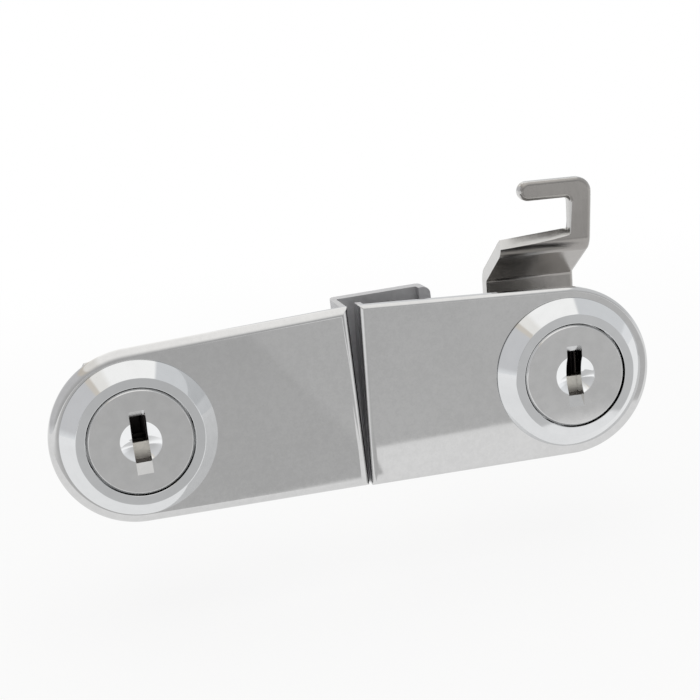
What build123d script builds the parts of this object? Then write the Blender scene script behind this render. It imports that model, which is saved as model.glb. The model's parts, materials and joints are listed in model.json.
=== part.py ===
from build123d import *
import os
from math import acos, atan2, cos, hypot, radians, sin, sqrt

# A lock for a pair of glass doors: two plated plates, each clamped to its door by a keyed
# cylinder that goes through a hole in the glass and carries a hooked cam behind it.
# All sizes are in millimetres. The origin is where the left cylinder's axis meets the outer
# face of the glass. +X runs from the left lock to the right one, +Y goes back through the
# glass and +Z is up.

# The doors
glass_thickness = 6.0
meeting_gap = 0.4
tilt = 3.0  # degrees that the right half leans clockwise about its lower meeting corner

# The two plates, a little narrower at the round end than at the meeting edge
sheet = 2.5
end_radius = 17.65
plate_height = 37.4
left_reach = 45.0
right_reach = 43.2
edge_chamfer = 1.0
inner_bend_radius = 0.5
outer_bend_radius = 2.4
flange_depth = 6.0
flange_corner_radius = 1.2
channel_wall = 1.2
channel_wall_bend = 3.4
channel_back_thickness = 3.2
channel_reach = 20.3
lip_rise = 2.2
door_play = 0.3

# The cylinder housing: a bevelled head in front of the plate and a barrel through the glass
head_radius = 15.6
head_face_radius = 12.7
head_height = 4.0
head_rim = 0.4
barrel_radius = 10.0
barrel_flat = 9.3
barrel_length = 28.3
barrel_fit = 0.15
groove_half_width = 4.1
groove_radius = 8.3

# The plug, its face disc, the key slot and the square tail that drives the hook
disc_radius = 10.62
disc_thickness = 2.5
disc_gap = 0.2
disc_edge = 0.3
core_radius = 7.0
running_fit = 0.05
end_play = 0.1
key_slot_width = 3.2
key_slot_top = 5.1
key_slot_bottom = -4.3
key_slot_depth = 16.6
key_step_length = 2.2
key_step_depth = 0.9
key_dish_radius = 4.1
key_dish_depth = 1.3
tail_square = 6.6
tail_length = 4.0

# Wafers and their springs
wafer_count = 5
wafer_thickness = 0.9
wafer_pitch = 2.2
wafer_setback = 4.0
wafer_half_width = 3.8
wafer_window_half_width = 1.7
wafer_window_top = 5.0
wafer_window_floor = -0.9
wafer_step = 0.35
wafer_cuts = (0, 2, 1, 3, 1)
wafer_lug = 1.8
wafer_lug_height = 1.4
spring_radius = 0.65
spring_length = 4.3
spring_foot = -3.1

# What clamps the housing to the glass
front_gasket_thickness = 0.5
front_gasket_radius = 14.8
rear_gasket_thickness = 1.0
rear_gasket_radius = 15.0
clamp_washer_thickness = 1.0
clamp_washer_radius = 14.4
nut_thickness = 5.0
nut_across_flats = 27.0
nut_chamfer = 0.8
thread_fit = 0.03

# The quarter-turn stop
stop_washer_thickness = 1.2
stop_washer_radius = 9.0
stop_lug_inner_radius = 7.35
stop_lug_angle = 28.0
stop_lug_height = 1.3
stop_notch_depth = 1.6
stop_start_angle = 180.0
quarter_turn = 90.0
stop_play = 1.0

# The hooked cam, a jogged strip
hook_sheet = 3.0
hook_bend_radius = 2.2
hook_clearance = 0.8
hook_left = -8.3
hook_right = 12.7
hook_boss_radius = 9.2
hook_shoulder = 3.5
hook_jog_start = 16.6
hook_jog_end = 24.3
hook_cut_low = 23.6
hook_cut_lean = 0.7
hook_cut_high = 26.2
hook_cut_climb = 1.2
hook_bar_width = 5.2
hook_arm_left = -3.8
hook_arm_bottom = 34.2
hook_arm_top = 38.4
hook_corner_radius = 3.3
hook_root_radius = 0.8

# The screw that holds the hook
screw_radius = 2.5
screw_length = 10.0
screw_head_radius = 4.6
screw_head_height = 2.7
screw_recess_width = 1.1
screw_recess_length = 4.8
screw_recess_depth = 1.5
spring_washer_radius = 4.5
spring_washer_thickness = 1.0
spring_washer_gap = 0.9

# Levels along Y that the sizes above give
plate_back = -front_gasket_thickness
plate_front = plate_back - sheet
head_front = plate_front - head_height
disc_back = head_front + disc_thickness
barrel_end = plate_front + barrel_length
core_end = barrel_end + end_play
stop_back = core_end + stop_washer_thickness
hook_back = stop_back + hook_sheet
tail_end = core_end + tail_length
spring_washer_back = hook_back + spring_washer_thickness
rear_gasket_back = glass_thickness + rear_gasket_thickness
clamp_washer_back = rear_gasket_back + clamp_washer_thickness
nut_back = clamp_washer_back + nut_thickness
lip_front = glass_thickness + door_play
channel_inside = lip_front + lip_rise
channel_back = channel_inside + channel_back_thickness
hook_plane = channel_back + hook_clearance + hook_sheet / 2
hook_base_plane = stop_back + hook_sheet / 2
half_height = plate_height / 2


def slab(sketch, start, end):
    """A sketch drawn as seen from the front, made solid from start to end along Y."""
    return extrude(Plane.XZ.offset(-end) * sketch, amount=end - start)


def ring(outer, inner, start, end):
    return slab(Circle(outer) - Circle(inner), start, end)


def turned(points):
    """A solid turned about the lock's axis from (radius, y) points."""
    return revolve(make_face(Polyline(*points, close=True)), Axis.Y)


def sector(outer, inner, first_angle, last_angle):
    """A piece of a ring between two angles, counted anticlockwise from +X."""
    steps = [first_angle, (first_angle + last_angle) / 2, last_angle]
    far = [(outer * cos(radians(a)), outer * sin(radians(a))) for a in steps]
    near = [(inner * cos(radians(a)), inner * sin(radians(a))) for a in steps]
    outline = ThreePointArc(*far) + Line(far[2], near[2])
    outline += ThreePointArc(near[2], near[1], near[0]) + Line(near[0], far[0])
    return make_face(outline)


def barrel_hole(fit):
    """The round hole with two flats that keeps a plate square to its cylinder."""
    return Circle(barrel_radius + fit) & Rectangle(2 * (barrel_flat + fit), 4 * barrel_radius)


def plate_blank(reach):
    """The flat front of a plate: round about the lock, straight to the meeting edge."""
    touch = atan2(half_height, reach) + acos(end_radius / hypot(reach, half_height))
    x, z = end_radius * cos(touch), end_radius * sin(touch)
    outline = Polyline((x, -z), (reach, -half_height), (reach, half_height), (x, z))
    outline += ThreePointArc((x, z), (-end_radius, 0), (x, -z))
    return slab(make_face(outline), plate_front, plate_back)


def ease_front(plate):
    """Takes the edge off all round a plate's front face."""
    front = plate.faces().filter_by(Axis.Y).sort_by(Axis.Y)[0]
    return chamfer(front.outer_wire().edges(), edge_chamfer)


def left_face_plate():
    """The left plate, folded back along the glass edge and on into the channel."""
    wall = left_reach - channel_wall
    far = left_reach + channel_reach
    start = wall - sheet
    corners = [
        (start, plate_front), (left_reach, plate_front), (left_reach, channel_inside),
        (far - sheet, channel_inside), (far - sheet, lip_front), (far, lip_front),
        (far, channel_back), (wall, channel_back), (wall, plate_back), (start, plate_back),
    ]
    section = make_face(Polyline(*corners, close=True))
    bends = [(2, inner_bend_radius), (3, inner_bend_radius), (8, inner_bend_radius)]
    bends += [(6, outer_bend_radius), (7, channel_wall_bend)]
    for place, radius in bends:
        section = fillet(section.vertices().sort_by_distance((*corners[place], 0))[0], radius)
    folded = Pos(0, 0, -half_height) * extrude(section, amount=plate_height)
    plate = ease_front(plate_blank(left_reach) + folded)
    return plate - slab(barrel_hole(barrel_fit), plate_front - 1, plate_back + 1)


def right_face_plate():
    """The right plate, with a short flange folded over the glass edge."""
    blank = plate_blank(right_reach)
    profile = Pos(right_reach - sheet / 2, plate_front + flange_depth / 2) * Rectangle(sheet, flange_depth)
    flange = Pos(0, 0, -half_height) * extrude(profile, amount=plate_height)
    corners = flange.edges().filter_by(Axis.X).group_by(Axis.Y)[-1]
    flange = fillet(corners, flange_corner_radius)
    plate = ease_front(blank + flange)
    plate -= slab(barrel_hole(barrel_fit), plate_front - 1, plate_back + 1)
    return mirror(plate, Plane.YZ)


def housing():
    """The bevelled head and the barrel, bored for the plug and slotted for its wafers."""
    body = turned([
        (0, plate_front), (head_radius, plate_front), (head_radius, plate_front - head_rim),
        (head_face_radius, head_front), (0, head_front),
    ])
    barrel = slab(barrel_hole(0), plate_front, barrel_end)
    bore_radius = core_radius + running_fit
    body += barrel
    body -= slab(Circle(disc_radius + disc_gap), head_front - 1, disc_back + end_play)
    body -= slab(Circle(bore_radius), head_front, barrel_end + 1)
    groove_start = disc_back + end_play
    groove_end = head_front + key_slot_depth
    groove = Circle(groove_radius) & Rectangle(2 * groove_half_width, 4 * groove_radius)
    body -= slab(groove, groove_start, groove_end)
    half_lug = stop_lug_angle / 2 + stop_play
    notch = sector(
        barrel_radius + 1, core_radius - 1,
        stop_start_angle - half_lug, stop_start_angle + quarter_turn + half_lug,
    )
    return body - slab(notch, barrel_end - stop_notch_depth, barrel_end + 1)


def key_slot(width, top, bottom):
    return Pos(0, (top + bottom) / 2) * Rectangle(width, top - bottom)


def wafer_levels():
    """Where each wafer's front and back faces lie."""
    first = head_front + wafer_setback
    starts = [first + i * wafer_pitch for i in range(wafer_count)]
    return [(start, start + wafer_thickness) for start in starts]


def plug():
    """The turning plug: face disc, core with the wafer slots, and the square tail."""
    body = turned([
        (0, head_front), (disc_radius - disc_edge, head_front),
        (disc_radius, head_front + disc_edge), (disc_radius, disc_back),
        (core_radius, disc_back), (core_radius, core_end), (0, core_end),
    ])
    tail = Rectangle(tail_square, tail_square) & Circle(0.66 * tail_square)
    body += slab(tail, core_end, tail_end)
    body -= turned([
        (0, head_front - 1), (key_dish_radius, head_front - 1), (key_dish_radius, head_front),
        (0.75 * key_dish_radius, head_front + 0.5 * key_dish_depth),
        (0.4 * key_dish_radius, head_front + key_dish_depth), (0, head_front + key_dish_depth),
    ])
    body -= slab(
        key_slot(key_slot_width, key_slot_top, key_slot_bottom), head_front - 1,
        head_front + key_slot_depth,
    )
    step = key_slot(
        key_slot_width, key_slot_top + key_step_length / 2, key_slot_bottom - key_step_length
    )
    body -= slab(step, head_front - 1, head_front + key_step_depth)
    pocket_start = wafer_half_width + 2 * running_fit
    pocket_width = wafer_lug + 3 * running_fit
    pocket_top = spring_foot + spring_length + wafer_lug_height + 0.4
    pocket = Pos(pocket_start + pocket_width / 2, (spring_foot + pocket_top) / 2)
    pocket *= Rectangle(pocket_width + 2 * running_fit, pocket_top - spring_foot)
    wafer_space = Rectangle(2 * (wafer_half_width + running_fit), 4 * core_radius)
    pocket_side = spring_radius + running_fit
    for start, end in wafer_levels():
        middle = (start + end) / 2
        body -= slab(wafer_space, start - running_fit, end + running_fit)
        body -= slab(pocket, middle - pocket_side, middle + pocket_side)
    return body - slab(Circle(screw_radius), hook_back - screw_length, tail_end + 1)


def wafers():
    """The thin sprung plates that the key lines up, each with its own window."""
    plates = []
    lug_bottom = spring_foot + spring_length
    lug = Pos(wafer_half_width + wafer_lug / 2, lug_bottom + wafer_lug_height / 2)
    lug *= Rectangle(wafer_lug, wafer_lug_height)
    blank = Circle(core_radius - running_fit) & Rectangle(2 * wafer_half_width, 4 * core_radius)
    for (start, end), cut in zip(wafer_levels(), wafer_cuts):
        floor = wafer_window_floor - cut * wafer_step
        window = key_slot(2 * wafer_window_half_width, wafer_window_top, floor)
        plates.append(slab(blank - window + lug, start, end))
    return Compound(children=plates)


def wafer_springs():
    """One small spring under each wafer's lug."""
    place = wafer_half_width + wafer_lug / 2 + running_fit
    springs = []
    for start, end in wafer_levels():
        spring = extrude(RegularPolygon(spring_radius, 8), spring_length)
        springs.append(Pos(place, (start + end) / 2, spring_foot) * spring)
    return Compound(children=springs)


def stop_washer():
    """The washer on the tail whose lug runs in the barrel's notch and ends the quarter turn."""
    hole = Rectangle(tail_square + 2 * running_fit, tail_square + 2 * running_fit)
    body = slab(Circle(stop_washer_radius) - hole, core_end, stop_back)
    lug = sector(
        stop_washer_radius, stop_lug_inner_radius,
        stop_start_angle - stop_lug_angle / 2, stop_start_angle + stop_lug_angle / 2,
    )
    return body + slab(lug, core_end - stop_lug_height, core_end)


def strip(path_points, left, right):
    """A flat strip of the hook's sheet that follows (y, z) points, from left to right in X."""
    places = [(left, y, z) for y, z in path_points]
    if len(places) > 2:
        path = FilletPolyline(*places, radius=hook_bend_radius)
    else:
        path = Line(*places)
    start = Plane(origin=places[0], x_dir=(1, 0, 0), z_dir=(0, 0, 1))
    section = start * Pos((right - left) / 2, 0) * Rectangle(right - left, hook_sheet)
    return sweep(section, path=path)


def opening(bar_left):
    """What is cut away over the slope, with an edge that climbs from the slope to the bar."""
    front = hook_plane - hook_sheet / 2
    rate = (hook_jog_end - hook_jog_start) / (hook_base_plane - hook_plane)
    over = hook_sheet / 2 * hypot(1, rate)
    low = [(front, hook_cut_low)]
    for y in (front + hook_cut_lean, hook_plane + hook_sheet):
        low.append((y, hook_jog_end + (hook_plane - y) * rate + over))
    high = [(front, hook_cut_high), (front + hook_sheet, hook_cut_high + hook_cut_climb)]
    high.append((hook_plane + hook_sheet, hook_cut_high + hook_cut_climb))
    sections = []
    for x, edge in ((hook_left - 1, low), (bar_left, high)):
        first = (edge[0][0] - hook_sheet, edge[0][1])
        far = [(hook_base_plane, hook_arm_top), (first[0], hook_arm_top)]
        corners = [(x, y, z) for y, z in [first, *edge, *far]]
        sections.append(make_face(Polyline(*corners, close=True)))
    return loft(sections, ruled=True)


def hook():
    """The cam: a wide base, a jog towards the glass and a narrow bar with a hooked arm."""
    low = (hook_base_plane, hook_shoulder)
    knee = (hook_base_plane, hook_jog_start)
    bend = (hook_plane, hook_jog_end)
    bar_left = hook_right - hook_bar_width
    body = strip([low, knee, bend, (hook_plane, hook_arm_bottom - 1)], hook_left, bar_left)
    body -= opening(bar_left)
    body += strip([low, knee, bend, (hook_plane, hook_arm_top)], bar_left, hook_right)
    boss_left = -hook_boss_radius * sin(acos(hook_left / hook_boss_radius))
    shoulder_angle = radians(-35)
    shoulder_end = (hook_boss_radius * cos(shoulder_angle), hook_boss_radius * sin(shoulder_angle))
    outline = Polyline(
        shoulder_end, (hook_right, hook_shoulder), (hook_right, 2 * hook_shoulder),
        (hook_left, 2 * hook_shoulder), (hook_left, boss_left),
    )
    outline += ThreePointArc((hook_left, boss_left), (0, -hook_boss_radius), shoulder_end)
    body += slab(make_face(outline), stop_back, hook_back)
    arm_height = hook_arm_top - hook_arm_bottom
    tip = hook_arm_left + arm_height / 2
    arm = Pos((tip + hook_right) / 2, hook_arm_bottom + arm_height / 2)
    arm *= Rectangle(hook_right - tip, arm_height)
    arm += Pos(tip, hook_arm_bottom + arm_height / 2) * Circle(arm_height / 2)
    body += slab(arm, hook_plane - hook_sheet / 2, hook_plane + hook_sheet / 2)
    across = body.edges().filter_by(Axis.Y)
    corner = across.sort_by_distance((hook_right, hook_plane, hook_arm_top))[0]
    body = fillet(corner, hook_corner_radius)
    across = body.edges().filter_by(Axis.Y)
    root = across.sort_by_distance((bar_left, hook_plane, hook_arm_bottom))[0]
    body = fillet(root, hook_root_radius)
    hole = Rectangle(tail_square + 2 * running_fit, tail_square + 2 * running_fit)
    return body - slab(hole, stop_back - 1, hook_back + 1)


def spring_washer():
    """A split washer between the hook and the screw's head."""
    body = ring(spring_washer_radius, screw_radius + running_fit, hook_back, spring_washer_back)
    cut = Rot(0, 0, 20) * Rectangle(4 * spring_washer_radius, spring_washer_gap)
    cut = slab(cut, hook_back - 1, spring_washer_back + 1)
    keep = Pos(-2 * spring_washer_radius, spring_washer_back, 0) * Box(
        4 * spring_washer_radius, 4 * spring_washer_thickness, 4 * spring_washer_radius
    )
    return body - (cut - keep)


def hook_screw():
    """A pan head screw with a cross recess."""
    head_end = spring_washer_back + screw_head_height
    head = turned([
        (0, spring_washer_back), (screw_head_radius, spring_washer_back),
        (screw_head_radius, head_end - 0.75 * screw_head_height),
        (0.87 * screw_head_radius, head_end - 0.3 * screw_head_height),
        (0.6 * screw_head_radius, head_end), (0, head_end),
    ])
    shank_fit = running_fit
    shank = slab(Circle(screw_radius - shank_fit), hook_back - screw_length + end_play, spring_washer_back)
    cross = Rectangle(screw_recess_length, screw_recess_width)
    cross += Rectangle(screw_recess_width, screw_recess_length)
    return head + shank - slab(cross, head_end - screw_recess_depth, head_end + 1)


def mounting_nut():
    """The hexagon nut that clamps the glass."""
    body = slab(RegularPolygon(nut_across_flats / 2, 6, major_radius=False), clamp_washer_back, nut_back)
    corner_radius = nut_across_flats / sqrt(3)
    cone = turned([
        (0, clamp_washer_back), (corner_radius - nut_chamfer, clamp_washer_back),
        (corner_radius + nut_chamfer, clamp_washer_back + nut_chamfer),
        (corner_radius + nut_chamfer, nut_back - nut_chamfer),
        (corner_radius - nut_chamfer, nut_back), (0, nut_back),
    ])
    return (body & cone) - slab(Circle(barrel_radius + thread_fit), clamp_washer_back - 1, nut_back + 1)


def cylinder_set(hook_angle):
    """Every piece of one lock apart from its plate, about the lock's own axis."""
    hole = barrel_radius + barrel_fit
    return {
        "housing": housing(),
        "front_gasket": ring(front_gasket_radius, hole, plate_back, 0),
        "rear_gasket": ring(rear_gasket_radius, hole, glass_thickness, rear_gasket_back),
        "clamp_washer": ring(clamp_washer_radius, hole, rear_gasket_back, clamp_washer_back),
        "mounting_nut": mounting_nut(),
        "plug": plug(),
        "wafers": wafers(),
        "wafer_springs": wafer_springs(),
        "stop_washer": stop_washer(),
        "hook": Rot(0, hook_angle, 0) * hook(),
        "spring_washer": spring_washer(),
        "hook_screw": hook_screw(),
    }


# The right half stands on its lower meeting corner and leans by the tilt
right_place = Pos(left_reach + meeting_gap, 0, -half_height)
right_place *= Rot(0, tilt, 0)
right_place *= Pos(right_reach, 0, half_height)

left_half = {"face_plate": left_face_plate(), **cylinder_set(quarter_turn)}
right_half = {"face_plate": right_face_plate(), **cylinder_set(0)}

os.makedirs("parts", exist_ok=True)
for side, place, pieces in (("left", Pos(0, 0, 0), left_half), ("right", right_place, right_half)):
    for name, piece in pieces.items():
        export_step(place * piece, f"parts/{side}_{name}.step")

axis = right_place.position
print(f"right lock axis at x {axis.X:.4f}, z {axis.Z:.4f}")
print(f"channel back at y {channel_back:.3f}, hook plane at y {hook_plane:.3f}")
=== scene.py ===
"""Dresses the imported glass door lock: folded plates, bevelled cylinder heads, plugs and hooks."""
import json
import math

import bmesh
import bpy
from mathutils import Matrix, Vector


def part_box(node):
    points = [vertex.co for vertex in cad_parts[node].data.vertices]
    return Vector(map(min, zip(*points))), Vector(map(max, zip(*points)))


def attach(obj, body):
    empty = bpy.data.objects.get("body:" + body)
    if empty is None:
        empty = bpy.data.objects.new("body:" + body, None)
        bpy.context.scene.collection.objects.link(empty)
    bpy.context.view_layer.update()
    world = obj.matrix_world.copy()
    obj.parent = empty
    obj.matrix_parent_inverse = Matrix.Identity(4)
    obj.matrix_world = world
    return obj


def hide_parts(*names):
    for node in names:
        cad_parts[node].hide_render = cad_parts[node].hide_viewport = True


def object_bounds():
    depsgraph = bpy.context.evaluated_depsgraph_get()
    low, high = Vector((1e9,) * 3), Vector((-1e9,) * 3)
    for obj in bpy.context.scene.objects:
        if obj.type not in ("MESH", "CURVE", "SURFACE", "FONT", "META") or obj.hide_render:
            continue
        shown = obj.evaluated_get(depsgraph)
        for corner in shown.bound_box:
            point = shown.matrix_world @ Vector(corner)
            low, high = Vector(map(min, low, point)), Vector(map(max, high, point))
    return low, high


bl_info = {
    "name": "Glass door lock",
    "version": (1, 0, 0),
    "blender": (4, 5, 0),
    "location": "View3D > Sidebar > Door lock",
    "description": "Builds the pieces of a lock for a pair of glass doors, piece by piece",
    "category": "Object",
}

MM = 0.001
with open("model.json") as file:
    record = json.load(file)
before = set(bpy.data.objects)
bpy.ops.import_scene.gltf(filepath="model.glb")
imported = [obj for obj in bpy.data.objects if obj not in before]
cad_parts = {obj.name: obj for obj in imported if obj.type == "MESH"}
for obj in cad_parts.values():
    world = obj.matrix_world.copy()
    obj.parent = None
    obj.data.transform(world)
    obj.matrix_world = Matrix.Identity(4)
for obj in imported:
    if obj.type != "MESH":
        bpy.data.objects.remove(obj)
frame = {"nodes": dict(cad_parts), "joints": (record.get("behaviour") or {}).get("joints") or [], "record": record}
cad_low, cad_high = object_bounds()
joints = {joint["name"]: joint for joint in frame["joints"]}
mounts = {mount["name"]: mount for mount in frame["record"]["mounts"]}

# The right half leans, so its frame comes from its lock's axis and its glass edge
right_axis = Vector(joints["right_lock_turn"]["pos_m"])
right_edge = mounts["right_glass_edge"]
lean = math.atan2(-right_edge["axis"][2], right_edge["axis"][0])
right_place = Matrix.Translation(right_axis) @ Matrix.Rotation(lean, 4, "Y")
left_place = Matrix.Identity(4)
quarter = Matrix.Rotation(math.radians(90), 4, "Y")

plate_low, plate_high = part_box("left_face_plate")
head_low, head_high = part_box("left_housing")
nut_low, nut_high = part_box("left_mounting_nut")
washer_low, washer_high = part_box("left_clamp_washer")
rear_low, rear_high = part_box("left_rear_gasket")
front_low, front_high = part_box("left_front_gasket")
stop_low, stop_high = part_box("left_stop_washer")
spring_low, spring_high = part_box("left_spring_washer")
screw_low, screw_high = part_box("left_hook_screw")
_, plug_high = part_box("left_plug")
hook_low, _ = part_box("left_hook")
_, flange_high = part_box("right_face_plate")
wall_inside = mounts["left_glass_edge"]["pos_m"][0]
edge_reach = (Vector(right_edge["pos_m"]) - right_axis).dot(Vector(right_edge["axis"]))

# What the plates and the solids share
plate_sheet = 2.5 * MM
side_wall = 1.2 * MM

# How near is taken as the same place, for edges and for points
same_edge = 0.02 * MM
same_point = 0.01 * MM


def length(label, about, value):
    return bpy.props.FloatProperty(
        name=label, description=about, default=value, unit="LENGTH", precision=5
    )


def tint(label, about, value):
    return bpy.props.FloatVectorProperty(
        name=label, description=about, default=value, size=3, subtype="COLOR", min=0, max=1.5
    )


def number(label, about, value):
    return bpy.props.FloatProperty(name=label, description=about, default=value)


def vector(label, about, value):
    return bpy.props.FloatVectorProperty(
        name=label, description=about, default=value, size=3, subtype="XYZ", precision=5
    )


class PlateSizes(bpy.types.PropertyGroup):
    sheet: length("Sheet", "Thickness of the folded sheet", plate_sheet)
    height: length("Height", "Height of both plates at the meeting edge", plate_high.z - plate_low.z)
    end_radius: length("End radius", "Radius of the plates' round ends", 17.64 * MM)
    front: length("Front", "Level of the plates' front faces along Y", plate_low.y)
    left_reach: length("Left reach", "Lock axis to the left meeting edge", wall_inside + side_wall)
    right_reach: length("Right reach", "Lock axis to the right meeting edge", plate_sheet - edge_reach)
    wall: length("Side wall", "Thickness of the channel's side wall", side_wall)
    channel_sheet: length("Channel sheet", "Thickness of the channel's back wall", 3.2 * MM)
    channel_far: length("Channel", "Outside of the channel's lip along X", plate_high.x - 0.8 * MM)
    channel_back: length("Channel back", "Rear face of the channel along Y", plate_high.y)
    lip_front: length("Lip", "Front end of the channel's lip along Y", 6.3 * MM)
    flange: length("Flange sheet", "Thickness of the right plate's flange", 1.3 * MM)
    flange_back: length("Flange", "Rear end of the right flange along Y", flange_high.y)
    edge_radius: length("Edge radius", "Rounding all round the front faces", 1.8 * MM)
    right_edge: length("Right edge radius", "Rounding round the right plate's front", 0.9 * MM)
    inner_bend: length("Inner bend", "Inside radius of the folds", 0.5 * MM)
    outer_bend: length("Outer bend", "Outside radius of the fold to the lip", 2.4 * MM)
    wall_bend: length("Wall bend", "Outside radius of the fold from the side wall", 3.4 * MM)
    flange_corner: length("Flange corner", "Rounding of the flange's rear corners", 1.2 * MM)
    lip_corner: length("Lip corner", "Rounding of the channel's outer corners", 1.5 * MM)
    burr: length("Deburring", "Tiny rounding of the cut edges", 0.15 * MM)
    hole: length("Barrel hole", "Radius of the hole for the barrel", 10.15 * MM)


class CylinderSizes(bpy.types.PropertyGroup):
    head: length("Head radius", "Outside radius of the bevelled head", head_high.x)
    face: length("Face radius", "Outer radius of the head's flat ring", 12.7 * MM)
    rim: length("Rim", "Straight side behind the bevel", 0.4 * MM)
    undercut: length("Undercut", "How far the rim stands out over its foot", 0.6 * MM)
    gap: length("Gap", "Gap under the head's rim", 0.2 * MM)
    front: length("Front", "Level of the head's flat ring along Y", head_low.y)
    end: length("Barrel end", "Rear end of the barrel along Y", head_high.y)
    recess: length("Recess radius", "Radius of the recess for the plug's disc", 10.82 * MM)
    recess_floor: length("Recess floor", "Floor of that recess along Y", head_low.y + 2.6 * MM)
    bore: length("Bore", "Radius of the plug's bore", 7.05 * MM)
    barrel: length("Barrel", "Radius over the barrel's thread", 10 * MM)
    flat: length("Flat", "Distance from the axis to each flat", 9.3 * MM)
    pitch: length("Pitch", "Pitch of the barrel's thread", 1.25 * MM)
    depth: length("Thread depth", "Depth of the barrel's thread", 0.5 * MM)
    notch: length("Stop notch", "Depth of the stop notch", 1.6 * MM)
    lug: length("Lug", "Inner radius of the stop washer's lug", 7.35 * MM)
    disc: length("Disc radius", "Radius of the plug's face disc", 10.62 * MM)
    disc_depth: length("Disc thickness", "Thickness of the face disc", 2.5 * MM)
    disc_edge: length("Disc edge", "Chamfer round the face disc", 0.45 * MM)
    core: length("Core radius", "Radius of the plug's core", 7 * MM)
    core_end: length("Core end", "Rear end of the core along Y", stop_low.y + 1.3 * MM)
    tail: length("Tail", "Width of the square tail", 6.6 * MM)
    slot_width: length("Key slot width", "Width of the key slot", 3.2 * MM)
    slot_top: length("Key slot top", "Top of the key slot", 5.1 * MM)
    slot_bottom: length("Key slot bottom", "Bottom of the key slot", -4.3 * MM)
    slot_depth: length("Key slot depth", "Depth of the key slot", 16.6 * MM)
    step: length("Step", "How far the shallow step runs past the slot", 2.2 * MM)
    step_depth: length("Step depth", "Depth of that step", 0.9 * MM)
    dish: length("Dish radius", "Radius of the polished dish", 4.1 * MM)
    dish_depth: length("Dish depth", "Depth of the polished dish", 1.3 * MM)
    # Depth from which the key slot gets its painted shade
    raw: length("Raw metal", "Depth from which the key slot is raw", 1.4 * MM)
    wafer_reach: length("Wafer slots", "Half width of the wafer slots", 3.85 * MM)
    wafer_gap: length("Wafer gap", "Gap on each face of a wafer", 0.05 * MM)


class HookSizes(bpy.types.PropertyGroup):
    sheet: length("Hook sheet", "Thickness of the hook's sheet", 3.0 * MM)
    back: length("Back", "Rear face of the hook's base along Y", spring_low.y)
    front: length("Front", "Front face of the hook's arm along Y", hook_low.y)
    bend: length("Bend", "Radius of the bends at mid thickness", 2.2 * MM)
    boss: length("Boss radius", "Radius of the round end", 9.2 * MM)
    left: length("Left side", "Left side of the wide part", -7.7 * MM)
    flare: length("Flare", "Left side where the opening starts", -8.3 * MM)
    right: length("Right side", "Right side of the hook", 12.7 * MM)
    waist: length("Waist", "Right side at the second bend", 12.0 * MM)
    shoulder: length("Shoulder", "Where the right side starts", 3.5 * MM)
    jog_start: length("Jog start", "Height of the first bend", 16.6 * MM)
    jog_end: length("Jog end", "Height of the second bend", 24.3 * MM)
    cut_low: length("Opening's low side", "Height of the opening's front edge at the left", 23.6 * MM)
    cut_lean: length("Opening's lean", "How far back that front edge reaches at the left", 0.7 * MM)
    cut_high: length("Opening's high side", "Height of its front edge at the bar", 26.2 * MM)
    cut_climb: length("Opening's climb", "How far it climbs to the rear at the bar", 1.2 * MM)
    bar: length("Bar width", "Width of the upright bar", 5.2 * MM)
    arm_left: length("Arm tip", "Left end of the arm", -3.5 * MM)
    arm_bottom: length("Arm bottom", "Lower edge of the arm", 34.2 * MM)
    arm_top: length("Arm top", "Upper edge of the arm", 38.4 * MM)
    corner: length("Corner radius", "Outer corner of the hook", 3.3 * MM)
    root: length("Root radius", "Inner corner of the hook", 0.8 * MM)
    edge: length("Edge", "Rounding of the pressed edges", 0.9 * MM)


class FastenerSizes(bpy.types.PropertyGroup):
    nut: length("Nut", "Width of the nut across its flats", 27 * MM)
    nut_chamfer: length("Nut chamfer", "Chamfer of the nut's corners", 1.3 * MM)
    nut_bore: length("Nut bore", "Radius of the nut's bore", 9.55 * MM)
    flare: length("Bore flare", "How much wider the nut's bore is at its ends", 1.2 * MM)
    flare_depth: length("Flare depth", "Depth of that flare", 0.9 * MM)
    screw: length("Screw", "Radius of the hook screw", 2.45 * MM)
    screw_head: length("Screw head", "Radius of the screw's head", screw_high.x)
    recess_width: length("Recess width", "Width of the cross recess", 1.1 * MM)
    recess_length: length("Recess length", "Length of the cross recess", 4.8 * MM)
    recess_depth: length("Recess depth", "Depth of the cross recess", 1.5 * MM)
    stop_hole: length("Stop hole", "Width of the stop washer's square hole", 6.7 * MM)


class Finishes(bpy.types.PropertyGroup):
    nickel: tint("Nickel", "Satin nickel of the plates", (0.65, 0.65, 0.65))
    chrome: tint("Chrome", "Polished chrome of the heads", (0.745, 0.755, 0.765))
    plug: tint("Plug", "Satin chrome of the plugs", (0.68, 0.68, 0.68))
    back: tint("Back", "Unpolished backs of the plates", (0.60, 0.60, 0.61))
    # A near-black colour painted as shade deep in the key slots
    keyway: tint("Keyway", "Raw metal in the key slots", (0.10, 0.09, 0.09))
    dish: tint("Dish", "Polished dish round the key slot", (0.9, 0.91, 0.92))
    hook: tint("Hook", "Nickel of the hooks", (0.38, 0.365, 0.35))
    # A lighter copy of the hooks' nickel, painted light on faces that look aside or up
    hook_cut: tint("Hook's cut", "Nickel on the hooks' cut edges", (0.60, 0.595, 0.585))
    zinc: tint("Zinc", "Bright zinc of nuts, washers and screws", (0.58, 0.58, 0.57))
    wire: tint("Wire", "Drawn wire of the wafer springs", (0.58, 0.58, 0.57))
    brass: tint("Brass", "Stamped brass of the wafers", (0.87, 0.84, 0.77))
    rubber: tint("Rubber", "Black rubber of the gaskets", (0.02, 0.02, 0.021))


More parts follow.
